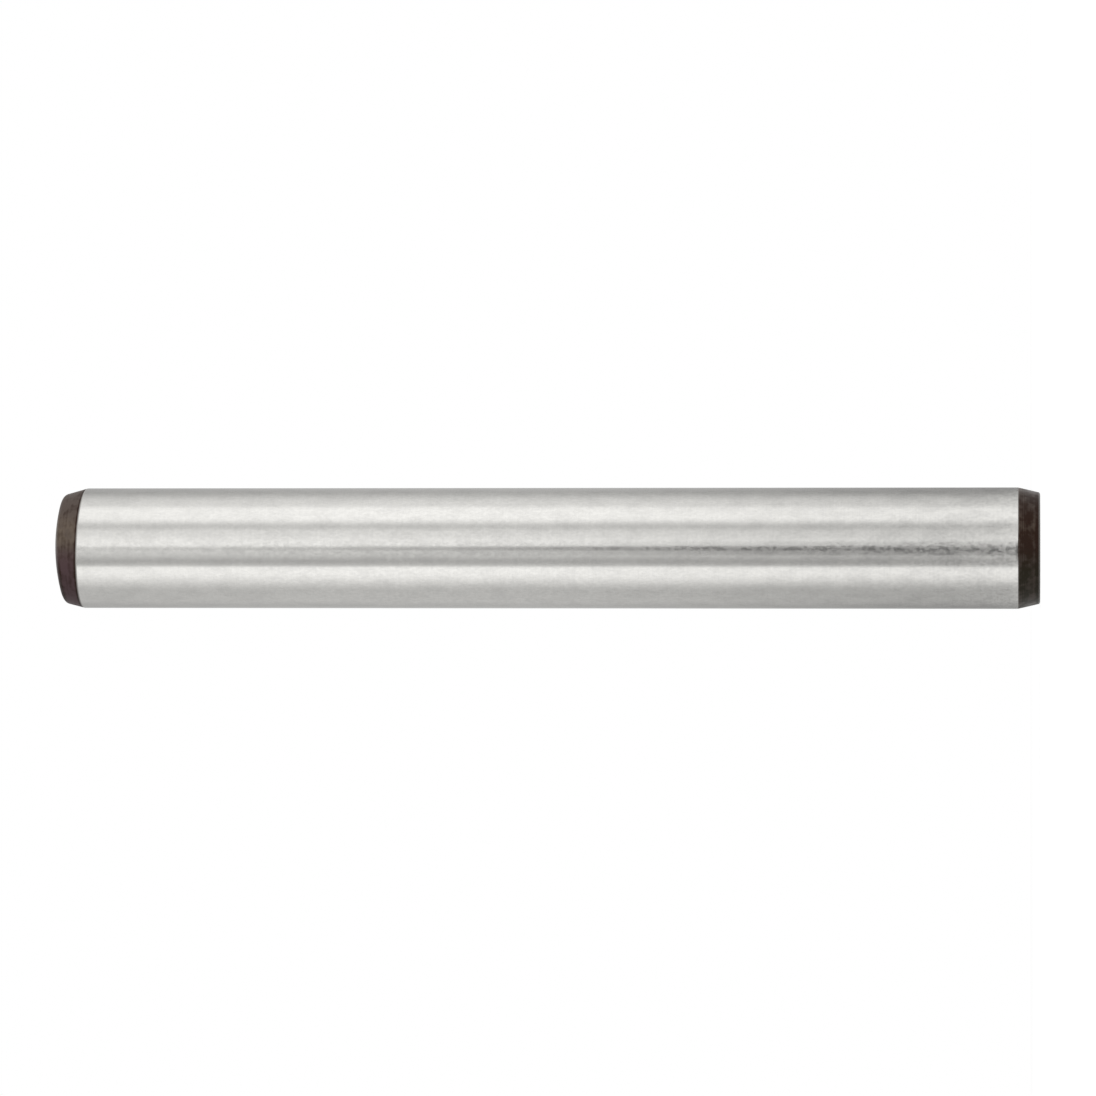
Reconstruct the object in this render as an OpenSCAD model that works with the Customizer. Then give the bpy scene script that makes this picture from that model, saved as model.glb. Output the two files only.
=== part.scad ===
// Hardened and ground dowel pin, 8 m6 x 65: a plain ground shank between two shallow lead-ins,
// with a crown on one end and a plain face on the other. It is one turned and ground piece.
// It stands on its plain end: +Z runs up the axis, and the origin is the middle of that face.

/* [Shank] */
// Nominal diameter of the pin
pin_d = 8; // [4:0.5:16]
// Amount by which the shank is ground over its nominal diameter, the middle of the m6 band
grind_over = 0.01; // [0.002:0.001:0.02]
// Length from the plain end face to the rim where the crown starts
pin_len = 65; // [20:1:120]

/* [Plain end] */
// Length of the lead-in at the plain end, along the axis
plain_lead_len = 1.45; // [0.4:0.05:2]
// Angle between that lead-in and the axis
plain_lead_angle = 13; // [8:1:25]
// Width of the broken edge between that lead-in and the end face
plain_edge_break = 0.08; // [0.02:0.01:0.2]

/* [Crowned end] */
// Length of the lead-in at the crowned end, along the axis
crown_lead_len = 1.4; // [0.9:0.05:1.8]
// Angle between that lead-in and the axis
crown_lead_angle = 15; // [8:1:25]
// Radius of the crown's spherical face
crown_r = 12; // [9:0.5:40]
// Radius that blends the crown into its lead-in
crown_edge_r = 0.4; // [0.1:0.05:0.6]

/* [Hidden] */
$fn = 128;

bright_steel = [0.80, 0.80, 0.79];
heat_scale = [0.27, 0.24, 0.23];

shank_r = (pin_d + grind_over) / 2;
shank_top = pin_len - crown_lead_len;

// Plain end: the radius at which the lead-in would meet the end face if its edge were sharp
plain_rim_r = shank_r - plain_lead_len * tan(plain_lead_angle);

// Crowned end, as points [radius, height above the top of the shank]: the radius at which the
// lead-in would meet the crown if its edge were sharp, and the centre of the sphere through it
crown_rim_r = shank_r - crown_lead_len * tan(crown_lead_angle);
sphere_depth = sqrt(crown_r^2 - crown_rim_r^2);
sphere_centre = [0, crown_lead_len - sphere_depth];

// The blend is a circle inside the corner that touches both the lead-in and the crown. Its centre
// climbs a line that is inset from the lead-in by crown_edge_r, until it is as far inside the crown.
lead_normal = [cos(crown_lead_angle), sin(crown_lead_angle)];
lead_upward = [-sin(crown_lead_angle), cos(crown_lead_angle)];
inset_rim = [crown_rim_r, sphere_depth] - crown_edge_r * lead_normal;
climbed = inset_rim * lead_upward;
left_to_crown = (crown_r - crown_edge_r)^2 - inset_rim * inset_rim;
from_sphere = inset_rim + (sqrt(climbed^2 + left_to_crown) - climbed) * lead_upward;
blend_centre = sphere_centre + from_sphere;
lead_touch = blend_centre + crown_edge_r * lead_normal;
past_crown = blend_centre + 2 * crown_edge_r * from_sphere / norm(from_sphere);
over_crown = crown_lead_len + crown_r;

// The blend stands this much proud, so that it crosses its neighbours instead of grazing them
blend_proud = 0.0005;

module plain_end() {
    edge_side = plain_edge_break * sin(plain_lead_angle);
    edge_rise = plain_edge_break * cos(plain_lead_angle);
    rotate_extrude()
        polygon([
            [0, 0],
            [plain_rim_r - plain_edge_break, 0],
            [plain_rim_r + edge_side, edge_rise],
            [shank_r, plain_lead_len],
            [0, plain_lead_len]
        ]);
}

module shank() {
    rotate_extrude()
        polygon([[0, plain_lead_len], [shank_r, plain_lead_len], [shank_r, shank_top], [0, shank_top]]);
}

// Half outline of the crowned end: the lead-in, the blend, and the crown between blend and axis
module crowned_outline() {
    polygon([[0, 0], [shank_r, 0], lead_touch, blend_centre]);
    translate(blend_centre)
        circle(crown_edge_r + blend_proud);
    intersection() {
        translate(sphere_centre)
            circle(crown_r);
        polygon([[0, 0], blend_centre, past_crown, [past_crown[0], over_crown], [0, over_crown]]);
    }
}

module crowned_end() {
    translate([0, 0, shank_top])
        rotate_extrude()
            crowned_outline();
}

// One piece of steel: the grinding leaves the shank bright, and the ends keep their heat scale
module dowel_pin() {
    color(heat_scale) plain_end();
    color(bright_steel) shank();
    color(heat_scale) crowned_end();
}

dowel_pin();
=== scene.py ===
"""A hardened and ground dowel pin, standing on its flat end in a small light tent.

The pin is one turned piece. Its ground shank is bright steel, and both ends keep their heat scale.
Sizes and places are in millimetres, and MM turns them into metres where an object is made.
"""

import math
from functools import cached_property

import bmesh
import bpy
from mathutils import Matrix, Vector


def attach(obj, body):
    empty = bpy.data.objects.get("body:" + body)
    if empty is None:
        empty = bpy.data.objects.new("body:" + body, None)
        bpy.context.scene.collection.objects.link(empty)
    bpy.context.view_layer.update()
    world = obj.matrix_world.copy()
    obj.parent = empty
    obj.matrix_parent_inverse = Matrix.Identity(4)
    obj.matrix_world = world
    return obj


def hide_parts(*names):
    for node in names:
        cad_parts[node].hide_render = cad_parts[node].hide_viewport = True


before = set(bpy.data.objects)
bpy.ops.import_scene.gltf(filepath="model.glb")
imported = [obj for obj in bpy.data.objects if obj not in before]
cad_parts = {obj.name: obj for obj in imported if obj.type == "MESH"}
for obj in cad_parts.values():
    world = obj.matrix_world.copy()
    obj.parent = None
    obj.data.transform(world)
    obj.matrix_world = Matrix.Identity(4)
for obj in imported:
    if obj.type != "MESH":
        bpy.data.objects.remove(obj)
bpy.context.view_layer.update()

MM = 0.001

# The pin, with the same values as the solid
SHANK_R = 4.005
SHANK_BOTTOM = 1.45
SHANK_TOP = 63.6
PLAIN_LEAD_ANGLE = math.radians(13)
PLAIN_RIM_R = SHANK_R - SHANK_BOTTOM * math.tan(PLAIN_LEAD_ANGLE)
EDGE_BREAK = 0.08
LEAD_ANGLE = math.radians(15)
RIM_HEIGHT = 65.0
RIM_R = SHANK_R - (RIM_HEIGHT - SHANK_TOP) * math.tan(LEAD_ANGLE)
CROWN_R = 12.0
CROWN_CENTRE = RIM_HEIGHT - math.sqrt(CROWN_R**2 - RIM_R**2)
BLEND_R = 0.4

# The crowned end was turned on an axis that isn't quite the one of the later grinding: its top
# leans towards -X by END_LEAN and, where the shank ends, it stands END_SHIFT to that side
END_LEAN = math.radians(0.6)
END_SHIFT = 0.04
EDGE_SLANT = SHANK_R * math.sin(END_LEAN) - END_SHIFT / math.tan(LEAD_ANGLE)

# How finely the mesh follows the outline, which of its corners are rounded or stay creased, and
# how near to each other vertices count as being in one place
SPIN_STEPS = 256
SHANK_RINGS = 24
FACE_RINGS = 10
LEAD_RINGS = 5
BLEND_STEPS = 12
CROWN_STEPS = 28
CREASE = math.radians(8)
HARD_CORNER = math.radians(20)
CORNER_RADIUS = 0.02
CORNER_STEPS = 3
SAME_PLACE = 0.0002


def draw_to(bm, start, radius, height):
    """Draws a straight line of the half outline from start, and returns its far vertex."""
    end = bmesh.ops.extrude_vert_indiv(bm, verts=[start])["verts"][0]
    end.co = Vector((radius, 0, height)) * MM
    return end


def draw_straight(bm, start, radius, height, rings):
    """Draws the same line in several equal lengths, so that its faces aren't long slivers."""
    begin = start.co / MM
    for ring in range(1, rings + 1):
        share = ring / rings
        ring_r = begin.x + (radius - begin.x) * share
        ring_height = begin.z + (height - begin.z) * share
        start = draw_to(bm, start, ring_r, ring_height)
    return start


def draw_arc(bm, start, centre_r, centre_height, turn, steps):
    """Swings the outline's last vertex about a point, towards the axis of the pin."""
    swung = bmesh.ops.spin(
        bm,
        geom=[start],
        cent=Vector((centre_r, 0, centre_height)) * MM,
        axis=(0, 1, 0),
        angle=-turn,
        steps=steps,
        use_merge=False,
        use_duplicate=False,
    )
    return [part for part in swung["geom_last"] if isinstance(part, bmesh.types.BMVert)][0]


def spin_round(bm, steps):
    """Spins all that is drawn right round the pin's axis."""
    bmesh.ops.spin(
        bm,
        geom=bm.verts[:] + bm.edges[:],
        cent=(0, 0, 0),
        axis=(0, 0, 1),
        angle=math.tau,
        steps=steps,
        use_merge=True,
        use_duplicate=False,
    )


def blend_centre():
    """Centre of the small radius that joins the crown to its lead-in, as (radius, height)."""
    normal = Vector((math.cos(LEAD_ANGLE), math.sin(LEAD_ANGLE)))
    upward = Vector((-math.sin(LEAD_ANGLE), math.cos(LEAD_ANGLE)))
    rim = Vector((RIM_R, RIM_HEIGHT - CROWN_CENTRE)) - BLEND_R * normal
    climbed = rim.dot(upward)
    left = (CROWN_R - BLEND_R) ** 2 - rim.dot(rim)
    from_sphere = rim + (math.sqrt(climbed**2 + left) - climbed) * upward
    return from_sphere + Vector((0, CROWN_CENTRE))


def draw_flat_end(bm):
    """Half outline of the flat face, its broken edge and its lead-in, from the axis outwards."""
    vertex = bmesh.ops.create_vert(bm, co=(0, 0, 0))["vert"][0]
    vertex = draw_straight(bm, vertex, PLAIN_RIM_R - EDGE_BREAK, 0, FACE_RINGS)
    break_r = PLAIN_RIM_R + EDGE_BREAK * math.sin(PLAIN_LEAD_ANGLE)
    vertex = draw_to(bm, vertex, break_r, EDGE_BREAK * math.cos(PLAIN_LEAD_ANGLE))
    return draw_straight(bm, vertex, SHANK_R, SHANK_BOTTOM, LEAD_RINGS)


def draw_crowned_end(bm, vertex):
    """Half outline of the upper lead-in, the blend and the crown, up to the axis."""
    centre = blend_centre()
    touch_r = centre.x + BLEND_R * math.cos(LEAD_ANGLE)
    touch_height = centre.y + BLEND_R * math.sin(LEAD_ANGLE)
    vertex = draw_straight(bm, vertex, touch_r, touch_height, LEAD_RINGS)
    crown_turn = math.atan2(centre.x, centre.y - CROWN_CENTRE)
    blend_turn = math.radians(90) - LEAD_ANGLE - crown_turn
    vertex = draw_arc(bm, vertex, centre.x, centre.y, blend_turn, BLEND_STEPS)
    draw_arc(bm, vertex, 0, CROWN_CENTRE, crown_turn, CROWN_STEPS)


def round_hard_corners(bm):
    """Rounds the corners on both sides of the flat face's broken edge."""
    bmesh.ops.bevel(
        bm,
        geom=[edge for edge in bm.edges if edge.calc_face_angle(0) > HARD_CORNER],
        offset=CORNER_RADIUS * MM,
        offset_type="OFFSET",
        affect="EDGES",
        segments=CORNER_STEPS,
        profile=0.5,
        material=-1,
    )


def edge_height(x):
    """Height of the border where the leaning crowned end meets the shank, at x across the pin."""
    return x * (EDGE_SLANT / SHANK_R) + SHANK_TOP


def lean_crowned_end(bm):
    """Leans and shifts all that stands above the shank, and slants the shank's last edge to it."""
    border = [vertex for vertex in bm.verts if abs(vertex.co.z / MM - SHANK_TOP) < SAME_PLACE]
    above = [vertex for vertex in bm.verts if vertex.co.z / MM > SHANK_TOP + SAME_PLACE]
    pivot = Vector((0, 0, SHANK_TOP)) * MM
    bmesh.ops.rotate(bm, verts=above, cent=pivot, matrix=Matrix.Rotation(-END_LEAN, 3, "Y"))
    bmesh.ops.translate(bm, verts=above, vec=Vector((-END_SHIFT, 0, 0)) * MM)
    for vertex in border:
        vertex.co.z = edge_height(vertex.co.x / MM) * MM


def add_piece(name, bm, *materials):
    """An object at the origin that has the drawn mesh and these materials."""
    mesh = bpy.data.meshes.new(name)
    bm.to_mesh(mesh)
    bm.free()
    for material in materials:
        mesh.materials.append(material)
    piece = bpy.data.objects.new(name, mesh)
    bpy.context.scene.collection.objects.link(piece)
    return piece


def make_pin():
    """The whole pin, spun from its half outline. Material 0 is the ground shank, 1 the scale."""
    bm = bmesh.new()
    vertex = draw_flat_end(bm)
    vertex = draw_straight(bm, vertex, SHANK_R, SHANK_TOP, SHANK_RINGS)
    draw_crowned_end(bm, vertex)
    spin_round(bm, SPIN_STEPS)
    bmesh.ops.remove_doubles(bm, verts=bm.verts, dist=SAME_PLACE * MM)
    bmesh.ops.recalc_face_normals(bm, faces=bm.faces)
    round_hard_corners(bm)

    for face in bm.faces:
        height = face.calc_center_median().z / MM
        face.smooth = True
        face.material_index = 0 if SHANK_BOTTOM < height < SHANK_TOP else 1
    for edge in bm.edges:
        edge.smooth = edge.calc_face_angle(0) < CREASE
    lean_crowned_end(bm)
    return add_piece("dowel_pin_body", bm, ground_steel(), heat_scale())


def add_node(tree, kind, **settings):
    """A new node with its settings."""
    node = tree.nodes.new(kind)
    for name, value in settings.items():
        setattr(node, name, value)
    return node


def join(tree, source, socket):
    """Links a pattern or an output to a socket, or sets the socket to a plain number or colour."""
    if isinstance(source, Pattern):
        source = source.output
    if isinstance(source, bpy.types.NodeSocket):
        tree.links.new(source, socket)
    else:
        socket.default_value = source


class Pattern:
    """A number that varies over a surface. Patterns are added and multiplied as numbers are."""

    def __init__(self, tree, output):
        self.tree = tree
        self.output = output

    def calculate(self, operation, other=0.0):
        """One Math node on this pattern and another pattern or number."""
        node = add_node(self.tree, "ShaderNodeMath", operation=operation)
        join(self.tree, self, node.inputs[0])
        join(self.tree, other, node.inputs[1])
        return Pattern(self.tree, node.outputs[0])

    def __add__(self, other):
        return self.calculate("ADD", other)

    def __sub__(self, other):
        return self.calculate("SUBTRACT", other)

    def __mul__(self, other):
        return self.calculate("MULTIPLY", other)

    def larger(self, other):
        """The larger of the two, point by point."""
        return self.calculate("MAXIMUM", other)

    def rest(self):
        """What this share leaves of the whole."""
        return self * -1.0 + 1.0

    def runs(self, low, high, at_low, at_high, curve="SMOOTHSTEP"):
        """Runs from at_low to at_high while this pattern goes from low to high, and no further."""
        node = add_node(self.tree, "ShaderNodeMapRange", interpolation_type=curve)
        join(self.tree, self, node.inputs["Value"])
        node.inputs["From Min"].default_value = low
        node.inputs["From Max"].default_value = high
        node.inputs["To Min"].default_value = at_low
        node.inputs["To Max"].default_value = at_high
        return Pattern(self.tree, node.outputs["Result"])

    def rises(self, start, full):
        """0 up to start, 1 from full on."""
        return self.runs(start, full, 0.0, 1.0)

    def falls(self, start, gone):
        """1 up to start, 0 from gone on."""
        return self.runs(start, gone, 1.0, 0.0)

    def within(self, start, full, fades, gone):
        """1 from full to fades, 0 up to start and from gone on."""
        return self.rises(start, full) * self.falls(fades, gone)

    def held(self):
        """The same, but never under 0 or over 1."""
        return self.runs(0.0, 1.0, 0.0, 1.0, "LINEAR")


class Place:
    """Where a point of a surface is, in millimetres from the middle of the flat face."""

    def __init__(self, tree):
        metres = add_node(tree, "ShaderNodeTexCoord").outputs["Object"]
        scaled = add_node(tree, "ShaderNodeVectorMath", operation="SCALE")
        join(tree, metres, scaled.inputs["Vector"])
        scaled.inputs["Scale"].default_value = 1 / MM
        self.vector = scaled.outputs["Vector"]
        axes = add_node(tree, "ShaderNodeSeparateXYZ")
        join(tree, self.vector, axes.inputs["Vector"])
        self.x = Pattern(tree, axes.outputs["X"])
        self.y = Pattern(tree, axes.outputs["Y"])
        self.z = Pattern(tree, axes.outputs["Z"])

    @cached_property
    def out(self):
        """Distance from the pin's axis."""
        return (self.x * self.x + self.y * self.y).calculate("SQRT")


def mix_colours(tree, share, first, second):
    """One Mix node on two colours."""
    node = add_node(tree, "ShaderNodeMixRGB")
    join(tree, share, node.inputs["Fac"])
    join(tree, first, node.inputs["Color1"])
    join(tree, second, node.inputs["Color2"])
    return node.outputs["Color"]


def grain(tree, vector, size, detail, roughness, shift):
    """Noise whose blotches are about size millimetres across, given as (x, y, z)."""
    mapping = add_node(tree, "ShaderNodeMapping")
    join(tree, vector, mapping.inputs["Vector"])
    mapping.inputs["Location"].default_value = (shift, shift, shift)
    mapping.inputs["Scale"].default_value = [1 / length for length in size]
    texture = add_node(tree, "ShaderNodeTexNoise")
    join(tree, mapping.outputs["Vector"], texture.inputs["Vector"])
    texture.inputs["Scale"].default_value = 1.0
    texture.inputs["Detail"].default_value = detail
    texture.inputs["Roughness"].default_value = roughness
    return Pattern(tree, texture.outputs["Fac"])


def relief(tree, height, depth, under=None):
    """A Bump node whose height runs over depth millimetres. under is the normal beneath it."""
    bump = add_node(tree, "ShaderNodeBump")
    join(tree, height, bump.inputs["Height"])
    bump.inputs["Strength"].default_value = 1.0
    bump.inputs["Distance"].default_value = depth * MM
    if under is not None:
        join(tree, under, bump.inputs["Normal"])
    return bump.outputs["Normal"]


def new_surface(name):
    """A material with its tree and its Principled shader."""
    material = bpy.data.materials.new(name)
    material.use_nodes = True
    return material, material.node_tree, material.node_tree.nodes["Principled BSDF"]


# Colours of the heat scale and of the steel
SCALE_MAROON = (0.076, 0.045, 0.048, 1)
SCALE_BROWN = (0.082, 0.062, 0.052, 1)
SCALE_OCHRE = (0.122, 0.094, 0.072, 1)
SCALE_BLACK = (0.0190, 0.0070, 0.0030, 1)
SCALE_OLIVE = (0.0150, 0.0112, 0.0040, 1)
SCALE_WORN = (0.46, 0.45, 0.43, 1)
STEEL_LIGHT = (0.790, 0.781, 0.753, 1)
STEEL_DULL = (0.655, 0.647, 0.626, 1)

# How patterns are written below: a run goes from its third number to its fourth while what it
# follows goes from the first to the second. A pair is where a rise or a fall between 0 and 1
# starts and ends. A BAND starts to rise at its first number, is full at the second, starts to
# fade at the third and is gone at the fourth. Noise lies mostly between 0.3 and 0.7.

# Grains of the ground steel: clouds, finer mottling, the lay of the grinding lines round the pin,
# small flats between those, and pits. The size is in millimetres, detail is the number of finer
# layers, roughness is how strong they are, and shift takes the grain elsewhere in the noise.
CLOUDS = dict(size=(0.9, 0.9, 1.6), detail=3.0, roughness=0.6, shift=0.0)
FINE = dict(size=(0.15, 0.15, 0.30), detail=1.0, roughness=0.5, shift=11.0)
LAY = dict(size=(2.5, 2.5, 0.08), detail=2.0, roughness=0.6, shift=3.0)
FLATS = dict(size=(0.17, 0.17, 0.32), detail=1.0, roughness=0.5, shift=5.0)
PITS = dict(size=(0.075, 0.075, 0.28), detail=0.0, roughness=0.5, shift=7.0)

# What the grains add to the dullness round HALF_DULL, and how much coarser the grinding is, and
# deeper its pits, near the flat end
HALF_DULL = 0.5
CLOUDS_DULLNESS = (0.38, 0.66, -0.18, 0.18)
FINE_DULLNESS = (0.32, 0.68, -0.10, 0.10)
LAY_DULLNESS = (0.40, 0.64, -0.05, 0.05)
COARSENESS = (0.0, 24.0, 1.8, 1.0)
PIT_STRENGTH = (0.0, 45.0, 1.6, 0.8)
PIT_DEPTH = 0.0003
LAY_DEPTH = 0.0004

# Its gloss: rough between the small flats and smoother on them, and drawn out along the pin
FLATS_ROUGHNESS = (0.43, 0.62, 0.220, 0.172)
DRAWN_OUT = 0.87
ALONG_PIN = 0.25

# A stain of scale that has crept over the border at the flat end, on the -Y side
CREPT_UP = (SHANK_BOTTOM + 0.02, SHANK_BOTTOM + 0.21)
CREPT_BAND = (-1.0, -0.4, 0.0, 0.6)
CREPT_SIDE = (-3.2, -2.6)
CREPT_STRENGTH = 0.60


def steel_colour(tree, place, lay):
    """Brighter and duller patches of the grinding, and the stain at the flat end."""
    clouds = grain(tree, place.vector, **CLOUDS)
    fine = grain(tree, place.vector, **FINE)
    uneven = clouds.runs(*CLOUDS_DULLNESS) + fine.runs(*FINE_DULLNESS) + lay.runs(*LAY_DULLNESS)
    dullness = uneven * place.z.runs(*COARSENESS) + HALF_DULL
    colour = mix_colours(tree, dullness, STEEL_LIGHT, STEEL_DULL)

    crept = place.z.falls(*CREPT_UP) * place.x.within(*CREPT_BAND) * place.y.falls(*CREPT_SIDE)
    return mix_colours(tree, crept * CREPT_STRENGTH, colour, SCALE_BLACK)


def ground_steel():
    """Centreless-ground steel: crisp round the pin, blurred along it by the grinding lines."""
    material, tree, shader = new_surface("ground_steel")
    place = Place(tree)
    lay = grain(tree, place.vector, **LAY)
    join(tree, steel_colour(tree, place, lay), shader.inputs["Base Color"])
    shader.inputs["Metallic"].default_value = 1.0

    # Small flats between the grinding lines are smoother, and mirror the dark camera more sharply
    flats = grain(tree, place.vector, **FLATS)
    join(tree, flats.runs(*FLATS_ROUGHNESS), shader.inputs["Roughness"])
    shader.inputs["Anisotropic"].default_value = DRAWN_OUT
    shader.inputs["Anisotropic Rotation"].default_value = ALONG_PIN
    tangent = add_node(tree, "ShaderNodeTangent", direction_type="RADIAL", axis="Z")
    join(tree, tangent.outputs["Tangent"], shader.inputs["Tangent"])

    pits = grain(tree, place.vector, **PITS)
    normal = relief(tree, pits * place.z.runs(*PIT_STRENGTH), PIT_DEPTH)
    normal = relief(tree, lay, LAY_DEPTH, normal)
    join(tree, normal, shader.inputs["Normal"])
    return material


# Grains of the scale: patches, specks, and the rings that the turning left, whose first size runs
# along the pin's outline
PATCHES = dict(size=(1.1, 1.1, 0.8), detail=2.0, roughness=0.6, shift=2.0)
SPECKS = dict(size=(0.42, 0.42, 0.50), detail=2.0, roughness=0.5, shift=5.0)
RINGS = dict(size=(0.20, 1.0, 1.0), detail=2.0, roughness=0.6, shift=0.0)

# What the grains add to its darkness, its gloss and its relief, and the heights, somewhere on the
# shank, between which one end's scale gives way to the other's
PATCH_DARKNESS = (0.36, 0.64, -0.24, 0.26)
SPECK_DARKNESS = (0.36, 0.68, -0.16, 0.22)
RING_DARKNESS = (0.36, 0.66, -0.16, 0.24)
SPECK_ROUGHNESS = (0.3, 0.7, 0.28, 0.42)
SCALE_GLOSS = 0.13
RING_DEPTH = 0.0035
SPECK_DEPTH = 0.010
BETWEEN_ENDS = (30.0, 40.0)

# Its tints across the pin: browner towards +X, with an ochre band that patches break up. On the
# lower side of the picture, towards -X, the black of the flat end is olive
BROWN_SIDE = (-1.4, 0.8)
OCHRE_BAND = (-0.4, 0.7, 1.2, 2.6)
OCHRE_PATCHES = (0.36, 0.56, 0.3, 1.0)
LOWER_SIDE = (-1.8, 0.2)

# Crowned end: darkest just over the border, which itself is worn, and darkened by painted shade
# in a streak at the rim on the lower side
BESIDE_SHANK = (0.16, 0.26, 0.85, 0.0)
WORN_CROWNED_BORDER = (0.0, 0.13)
# The streak of painted shade lies between these heights and these distances from the axis
PAINTED_SHADE_HEIGHT = (RIM_HEIGHT - 0.32, RIM_HEIGHT - 0.18)
PAINTED_SHADE_OUT = (2.6, 3.2)

# Flat end: dark all over, darkest on the face and its edge, with a paler ring over that. Near
# the border it is paler, the more towards +X, and worn, but less so in the middle of the -Y and +Y
# sides
FLAT_END_DARKNESS = 0.88
FOOT_DARKNESS = (0.18, 0.30, 0.34, 0.0)
FOOT_PALENESS = (0.30, 0.60, 0.14, 0.0)
MIDDLE_BAND = (-1.2, -0.4, 0.6, 1.4)
MIDDLE_DARKNESS = 0.24
PALER_ACROSS = (-0.2, 1.4, 0.26, 0.54)
PALER_HEIGHT = (SHANK_BOTTOM - 0.60, SHANK_BOTTOM - 0.05)
WORN_FLAT_BORDER = (SHANK_BOTTOM - 0.08, SHANK_BOTTOM, 0.0, 0.40)
WORN_EDGE_HEIGHT = (0.06, 0.13, 0.55, 0.0)
WORN_EDGE_OUT = (3.50, 3.58)


def turned_rings(tree, place):
    """Fine rings left by the turning tool, on the faces and on the lead-ins."""
    along_outline = add_node(tree, "ShaderNodeCombineXYZ")
    join(tree, place.out - place.z, along_outline.inputs["X"])
    return grain(tree, along_outline.outputs["Vector"], **RINGS)


def crowned_end_scale(place):
    """How dark and how worn the scale is on the crowned end, with painted shade in a streak at its
    rim.
    """
    over_border = place.z - edge_height(place.x)
    # Painted shade: a dark streak at the rim, on the lower side
    painted_shade_streak = place.z.rises(*PAINTED_SHADE_HEIGHT) * place.x.falls(*LOWER_SIDE)
    painted_shade_streak = painted_shade_streak * place.out.rises(*PAINTED_SHADE_OUT)
    darkness = over_border.runs(*BESIDE_SHANK) + painted_shade_streak
    return darkness, over_border.falls(*WORN_CROWNED_BORDER)


def flat_end_scale(place):
    """How dark and how worn the scale is on the flat end."""
    middle = place.x.within(*MIDDLE_BAND)
    foot = place.z.runs(*FOOT_DARKNESS) - place.z.runs(*FOOT_PALENESS)
    paler_near_border = place.x.runs(*PALER_ACROSS) * place.z.rises(*PALER_HEIGHT)
    darkness = foot - paler_near_border + middle * MIDDLE_DARKNESS + FLAT_END_DARKNESS

    worn_border = place.z.runs(*WORN_FLAT_BORDER) * middle.rest()
    worn_edge = place.z.runs(*WORN_EDGE_HEIGHT) * place.out.rises(*WORN_EDGE_OUT)
    return darkness, worn_border + worn_edge


def scale_tint(tree, place, on_flat, patches):
    """Colour of the scale where it is thin."""
    browner = place.x.rises(*BROWN_SIDE).larger(on_flat)
    colour = mix_colours(tree, browner, SCALE_MAROON, SCALE_BROWN)
    ochre = place.x.within(*OCHRE_BAND) * patches.runs(*OCHRE_PATCHES)
    return mix_colours(tree, ochre, colour, SCALE_OCHRE)


def heat_scale():
    """Dark oxide left on the turned ends by the hardening, thicker and blacker at the flat end,
    and a streak of painted shade at the crowned rim.
    """
    material, tree, shader = new_surface("heat_scale")
    place = Place(tree)
    turned = turned_rings(tree, place)
    patches = grain(tree, place.vector, **PATCHES)
    specks = grain(tree, place.vector, **SPECKS)

    on_crowned = place.z.rises(*BETWEEN_ENDS)
    on_flat = on_crowned.rest()
    crowned_darkness, crowned_wear = crowned_end_scale(place)
    flat_darkness, flat_wear = flat_end_scale(place)
    darkness = crowned_darkness * on_crowned + flat_darkness * on_flat
    darkness += patches.runs(*PATCH_DARKNESS)
    darkness += specks.runs(*SPECK_DARKNESS)
    darkness += turned.runs(*RING_DARKNESS)
    wear = crowned_wear * on_crowned + flat_wear * on_flat

    tint = scale_tint(tree, place, on_flat, patches)
    below = place.x.falls(*LOWER_SIDE) * on_flat
    black = mix_colours(tree, below, SCALE_BLACK, SCALE_OLIVE)
    colour = mix_colours(tree, darkness.held(), tint, black)
    colour = mix_colours(tree, wear, colour, SCALE_WORN)
    join(tree, colour, shader.inputs["Base Color"])

    shader.inputs["Metallic"].default_value = 0.0
    shader.inputs["Specular IOR Level"].default_value = SCALE_GLOSS
    join(tree, specks.runs(*SPECK_ROUGHNESS, "LINEAR"), shader.inputs["Roughness"])
    normal = relief(tree, turned, RING_DEPTH)
    normal = relief(tree, specks, SPECK_DEPTH, normal)
    join(tree, normal, shader.inputs["Normal"])
    return material


# Camera: the pin's axis lies across the picture, with the crown on the left
CAMERA_PLACE = (0.01, -349.5, 1.35)
CAMERA_AIM = (0.01, 0.0, 32.59)
CAMERA_LENS = 173.3
CAMERA_SENSOR = 36.0
NEAREST_SEEN = 10.0
FARTHEST_SEEN = 20000.0


def place_camera():
    """Looks across the pin from level with its flat end, turned so that the pin lies across."""
    eye = Vector(CAMERA_PLACE) * MM
    forward = (Vector(CAMERA_AIM) * MM - eye).normalized()
    up = Vector((1, 0, 0))
    right = forward.cross(up)
    turned = Matrix((right, up, -forward)).transposed().to_4x4()
    data = bpy.data.cameras.new("camera")
    data.lens = CAMERA_LENS
    data.sensor_width = CAMERA_SENSOR
    data.clip_start = NEAREST_SEEN * MM
    data.clip_end = FARTHEST_SEEN * MM
    camera = bpy.data.objects.new("camera", data)
    camera.matrix_world = Matrix.Translation(eye) @ turned
    bpy.context.scene.collection.objects.link(camera)
    bpy.context.scene.camera = camera


# Softboxes round the light tent, each as the azimuths at which its light starts, is full, fades
# and has gone, in degrees from the camera towards +X, its strength, the height up to which that
# grows, and the share of it which is left at BOX_FOOT
SOFTBOXES = {
    "upper_front": ((34, 52, 93, 138), 0.40, 75, 0.74),
    "upper_middle": ((46, 60, 78, 93), 0.28, 75, 0.74),
    "beside_camera": ((-1, 6, 31, 45.5), 0.49, 120, 0.50),
    "nearest_camera": ((-1, 6, 7, 30), 0.20, 120, 0.48),
    "camera_side": ((-28, -5, 0, 6), 0.39, 120, 0.50),
    "lower_front": ((-90, -47, -38.5, -32), 0.54, 75, 0.80),
    "lower_back": ((-150, -118, -33, -24), 0.125, 75, 0.52),
}
BOX_FOOT = -20.0

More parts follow.
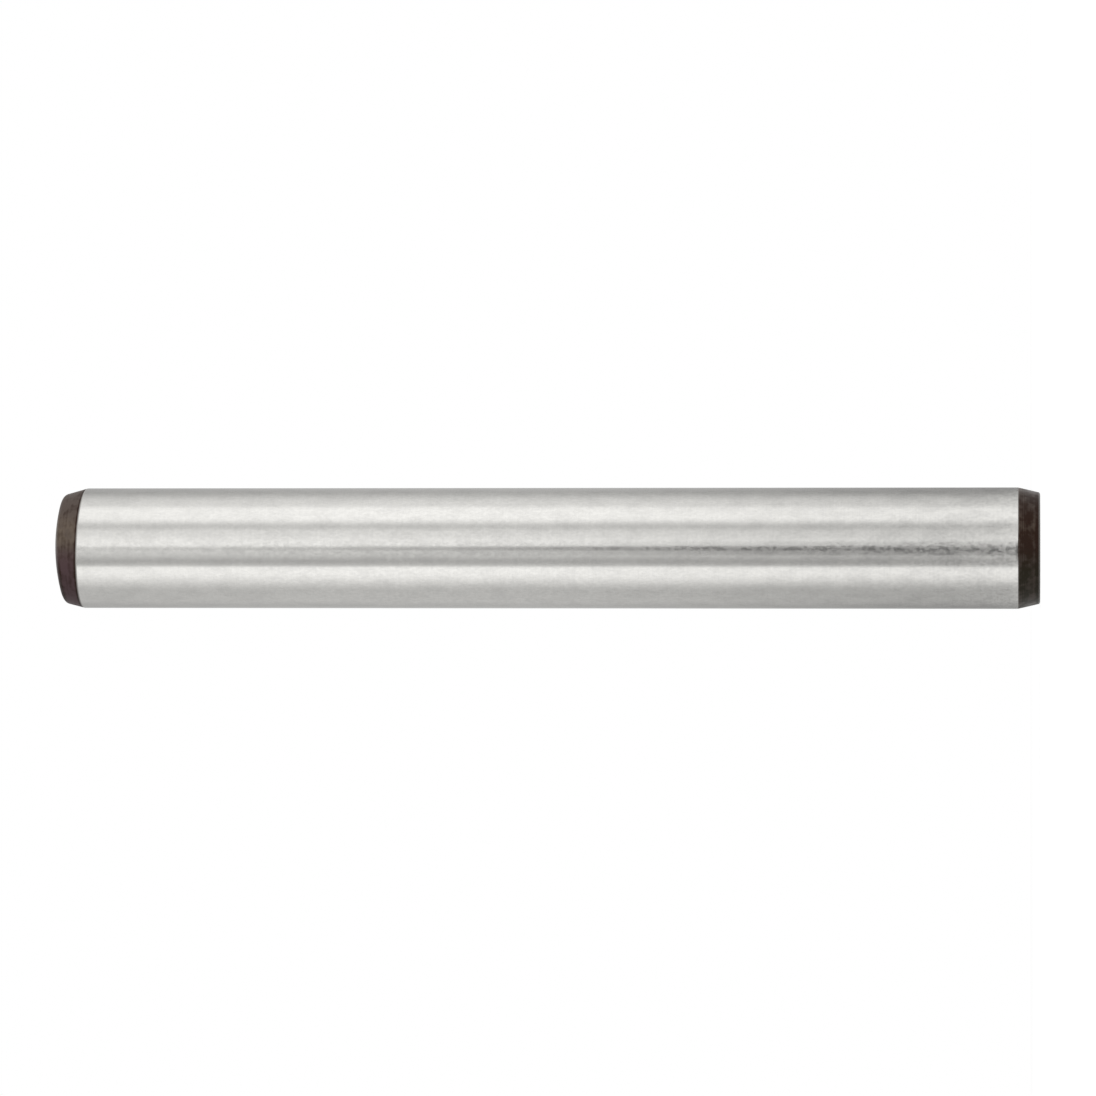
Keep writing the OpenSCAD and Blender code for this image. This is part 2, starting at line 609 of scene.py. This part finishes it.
# The tent's own light, and how the whole of it falls off with height
TENT_BASE = 0.48
TENT_BASE_SHARE = 0.52
TENT_BASE_TOP = 75.0
TENT_FALL = (95.0, 165.0, 1.13, 0.93)

TENT_R = 450.0
TENT_BOTTOM = -450.0
TENT_TOP = 400.0
TENT_STEPS = 96


def bare_material(name):
    """A material with an empty tree, whose glow isn't sampled as a lamp."""
    material = bpy.data.materials.new(name)
    material.use_nodes = True
    material.node_tree.nodes.clear()
    material.cycles.emission_sampling = "NONE"
    return material, material.node_tree


def show_surface(tree, surface):
    """Gives an empty tree its output."""
    output = add_node(tree, "ShaderNodeOutputMaterial")
    join(tree, surface, output.inputs["Surface"])


def tent_brightness(tree):
    """Light of the tent's wall: its own, and that of the softboxes behind it."""
    place = Place(tree)
    azimuth = place.x.calculate("ARCTAN2", place.y * -1.0).calculate("DEGREES")
    light = place.z.runs(BOX_FOOT, TENT_BASE_TOP, TENT_BASE * TENT_BASE_SHARE, TENT_BASE)
    for azimuths, strength, top, share in SOFTBOXES.values():
        box = azimuth.within(*azimuths) * place.z.runs(BOX_FOOT, top, share, 1.0)
        light += box * strength
    return light * place.z.runs(*TENT_FALL)


def tent_light():
    """The tent's inner wall: soft bands of light at the azimuths of the softboxes behind it."""
    material, tree = bare_material("tent_light")
    emission = add_node(tree, "ShaderNodeEmission")
    join(tree, tent_brightness(tree), emission.inputs["Strength"])
    show_surface(tree, emission.outputs["Emission"])
    return material


def show_to_reflections_only(piece):
    """Keeps a piece of the studio out of the picture and out of the shadows."""
    piece.visible_camera = False
    piece.visible_diffuse = False
    piece.visible_shadow = False
    piece.visible_transmission = False
    piece.visible_volume_scatter = False


def make_tent():
    """A round wall of light that the ground steel reflects."""
    bm = bmesh.new()
    foot = bmesh.ops.create_vert(bm, co=Vector((TENT_R, 0, TENT_BOTTOM)) * MM)["vert"][0]
    draw_to(bm, foot, TENT_R, TENT_TOP)
    spin_round(bm, TENT_STEPS)
    tent = add_piece("light_tent", bm, tent_light())
    show_to_reflections_only(tent)


# The camera as the pin sees it, which the shank reflects as a dark line: ovals, each with the
# place of its middle (across, height), its half width and its half height
SHADES = {
    "camera_body": ((-45, -2), 48, 43),
    "camera_finder": ((-2, 35), 31, 39),
    "camera_grip": ((44, 2), 44, 22),
}
SHADE_DISTANCE = 365.0
SHADE_STEPS = 64
SHADE_COLOUR = (0.01, 0.01, 0.01, 1)


def shade_black():
    """Matt black of the camera and its grip."""
    material, _, shader = new_surface("shade_black")
    shader.inputs["Base Color"].default_value = SHADE_COLOUR
    shader.inputs["Roughness"].default_value = 1.0
    return material


def make_camera_shades():
    """The camera's body, its finder above that, and its grip beside them."""
    black = shade_black()
    upright = Matrix.Rotation(math.radians(90), 4, "X")
    for name, ((across, height), half_width, half_height) in SHADES.items():
        middle = Matrix.Translation(Vector((across, -SHADE_DISTANCE, height)) * MM)
        oval = Matrix.Diagonal((half_width * MM, half_height * MM, 1, 1))
        bm = bmesh.new()
        bmesh.ops.create_circle(
            bm,
            cap_ends=True,
            segments=SHADE_STEPS,
            radius=1.0,
            matrix=middle @ upright @ oval,
        )
        shade = add_piece(name, bm, black)
        show_to_reflections_only(shade)


# The floor, what it glows by itself so that it reads as white, and the distances from the pin's
# axis between which it gives way to the tent in what the shank mirrors
FLOOR_R = 300.0
FLOOR_STEPS = 96
FLOOR_COLOUR = (0.80, 0.80, 0.80, 1)
FLOOR_GLOW = 0.52
FLOOR_CLEARS = (6.0, 30.0)


def rays(tree, kind):
    """1 for what rays of this kind see, and 0 for what others do."""
    path = add_node(tree, "ShaderNodeLightPath")
    return Pattern(tree, path.outputs["Is " + kind + " Ray"])


def floor_paint():
    """Matt white that reads as plain white in the picture and keeps the pin's shadow."""
    material, tree = bare_material("floor_white")
    mirrored = rays(tree, "Glossy")
    matt = add_node(tree, "ShaderNodeBsdfDiffuse")
    matt.inputs["Color"].default_value = FLOOR_COLOUR
    glow = add_node(tree, "ShaderNodeEmission")
    join(tree, rays(tree, "Camera").larger(mirrored) * FLOOR_GLOW, glow.inputs["Strength"])
    white = add_node(tree, "ShaderNodeAddShader")
    join(tree, matt.outputs["BSDF"], white.inputs[0])
    join(tree, glow.outputs["Emission"], white.inputs[1])

    clear = add_node(tree, "ShaderNodeBsdfTransparent")
    either = add_node(tree, "ShaderNodeMixShader")
    join(tree, mirrored * Place(tree).out.rises(*FLOOR_CLEARS), either.inputs["Fac"])
    join(tree, white.outputs["Shader"], either.inputs[1])
    join(tree, clear.outputs["BSDF"], either.inputs[2])
    show_surface(tree, either.outputs["Shader"])
    return material


def make_floor():
    """A round white table top, which the pin stands on."""
    bm = bmesh.new()
    bmesh.ops.create_circle(bm, cap_ends=True, segments=FLOOR_STEPS, radius=FLOOR_R * MM)
    floor = add_piece("floor", bm, floor_paint())


WORLD_WHITE = (1, 1, 1, 1)
WORLD_SEEN = 1.0
WORLD_FILL = 0.45


def set_world():
    """White behind everything and in what the metal mirrors, and a plain fill on matt surfaces."""
    world = bpy.data.worlds.new("studio")
    world.use_nodes = True
    tree = world.node_tree
    background = tree.nodes["Background"]
    background.inputs["Color"].default_value = WORLD_WHITE
    seen = rays(tree, "Camera").larger(rays(tree, "Glossy")).larger(rays(tree, "Transmission"))
    strength = seen * (WORLD_SEEN - WORLD_FILL) + WORLD_FILL
    join(tree, strength, background.inputs["Strength"])
    bpy.context.scene.world = world


# Lamps, each as its place, its width and its watts, all aimed at LAMP_AIM
LAMPS = {
    "key_lamp": ((520, -420, 330), 420, 3.0),
    "fill_lamp": ((-380, -520, 160), 420, 0.6),
}
LAMP_AIM = (0, 0, 30)


def make_lamps():
    """Two broad lamps: the stronger one on the +X side, which is the top of the picture."""
    for name, (place, width, watts) in LAMPS.items():
        data = bpy.data.lights.new(name, "AREA")
        data.shape = "DISK"
        data.size = width * MM
        data.energy = watts
        lamp = bpy.data.objects.new(name, data)
        lamp.location = Vector(place) * MM
        aim = Vector(LAMP_AIM) * MM - lamp.location
        lamp.rotation_euler = aim.to_track_quat("-Z", "Y").to_euler()
        lamp.visible_glossy = False
        bpy.context.scene.collection.objects.link(lamp)


pin = make_pin()
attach(pin, "root")
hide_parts("dowel_pin")

place_camera()
make_tent()
make_camera_shades()
make_floor()
set_world()
make_lamps()

bpy.context.scene.view_settings.view_transform = "Standard"
